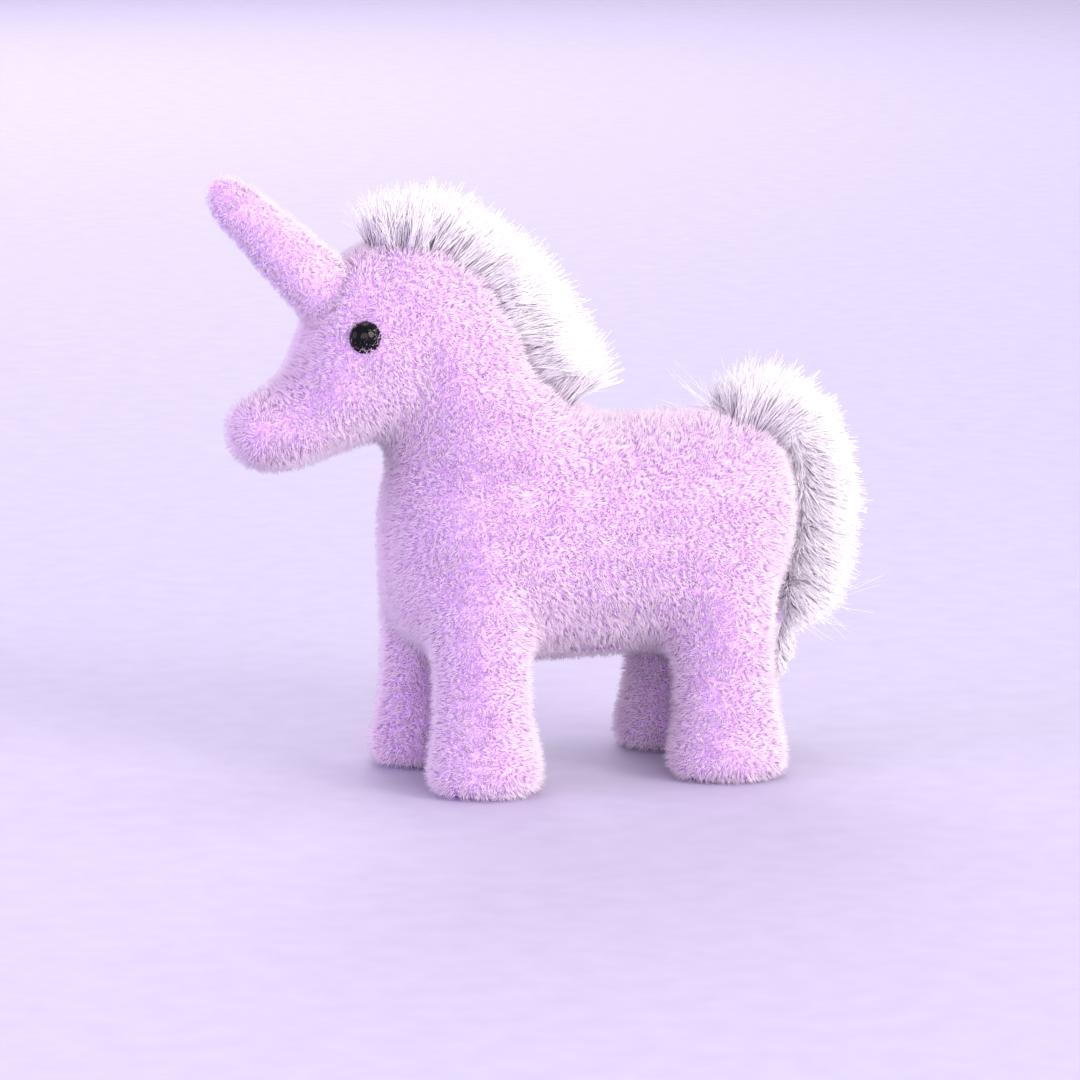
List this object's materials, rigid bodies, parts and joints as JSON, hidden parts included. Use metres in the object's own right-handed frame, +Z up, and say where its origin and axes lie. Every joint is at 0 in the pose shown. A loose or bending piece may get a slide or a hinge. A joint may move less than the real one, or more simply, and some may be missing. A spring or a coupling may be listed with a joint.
{
  "type": "plush unicorn",
  "caption": "Palm-sized stuffed unicorn in short-pile plush, standing on stubby legs, with a soft horn, bead eyes and a long-pile mane and tail.",
  "frame": {"origin": "on the standing surface, under the middle of the toy's outline", "axes": "+Z up, head towards -X, the toy's left side towards -Y"},
  "size_m": [0.0548, 0.0216, 0.0493],
  "materials": {
    "plush_pile": "short-pile plush, pale pink-lilac",
    "gusset_plush": "short-pile plush, pale lilac",
    "sole_plush": "short-pile plush, flattened",
    "long_pile": "ivory long-pile plush",
    "fibre_filling": "white fibre filling",
    "eye_glass": "black gloss",
    "sewing_thread": "lilac thread"
  },
  "bodies": {
    "torso": {"left_body_cover": "plush_pile", "right_body_cover": "plush_pile", "belly_gusset": "gusset_plush", "body_stuffing": "fibre_filling", "closing_stitches": "sewing_thread", "neck_mane": "long_pile", "tail_tuft": "long_pile"},
    "head": {"left_head_cover": "plush_pile", "right_head_cover": "plush_pile", "head_gusset": "gusset_plush", "head_stuffing": "fibre_filling", "left_eye": "eye_glass", "right_eye": "eye_glass", "eye_thread": "sewing_thread", "head_mane": "long_pile"},
    "horn": {"horn_cover": "plush_pile", "horn_stuffing": "fibre_filling"},
    "tail": {"tail_lock": "long_pile"},
    "left_front_leg": {"left_front_leg_cover": "plush_pile", "left_front_leg_stuffing": "fibre_filling", "left_front_sole": "sole_plush"},
    "right_front_leg": {"right_front_leg_cover": "plush_pile", "right_front_leg_stuffing": "fibre_filling", "right_front_sole": "sole_plush"},
    "left_hind_leg": {"left_hind_leg_cover": "plush_pile", "left_hind_leg_stuffing": "fibre_filling", "left_hind_sole": "sole_plush"},
    "right_hind_leg": {"right_hind_leg_cover": "plush_pile", "right_hind_leg_stuffing": "fibre_filling", "right_hind_sole": "sole_plush"}
  },
  "joints": [
    {"name": "neck_turn", "type": "hinge", "parent": "torso", "child": "head", "pos_m": [-0.00651, 0, 0.03102], "axis": [-0.5299, 0, 0.848], "range_deg": [-15, 15], "stiffness_Nm_per_rad": 0.012},
    {"name": "horn_flex", "type": "hinge", "parent": "head", "child": "horn", "pos_m": [-0.01756, 0, 0.03972], "axis": [0, 1, 0], "range_deg": [-8, 8], "stiffness_Nm_per_rad": 0.004},
    {"name": "tail_swing", "type": "hinge", "parent": "torso", "child": "tail", "pos_m": [0.02449, 0, 0.0244], "axis": [1, 0, 0], "range_deg": [-20, 20], "stiffness_Nm_per_rad": 0.0008},
    {"name": "left_front_hip", "type": "hinge", "parent": "torso", "child": "left_front_leg", "pos_m": [-0.00661, -0.0054, 0.012], "axis": [0, 1, 0], "range_deg": [-10, 10], "stiffness_Nm_per_rad": 0.006},
    {"name": "right_front_hip", "type": "hinge", "parent": "torso", "child": "right_front_leg", "pos_m": [-0.00661, 0.0054, 0.012], "axis": [0, 1, 0], "range_deg": [-10, 10], "stiffness_Nm_per_rad": 0.006},
    {"name": "left_hind_hip", "type": "hinge", "parent": "torso", "child": "left_hind_leg", "pos_m": [0.01419, -0.0054, 0.012], "axis": [0, 1, 0], "range_deg": [-10, 10], "stiffness_Nm_per_rad": 0.006},
    {"name": "right_hind_hip", "type": "hinge", "parent": "torso", "child": "right_hind_leg", "pos_m": [0.01419, 0.0054, 0.012], "axis": [0, 1, 0], "range_deg": [-10, 10], "stiffness_Nm_per_rad": 0.006}
  ]
}
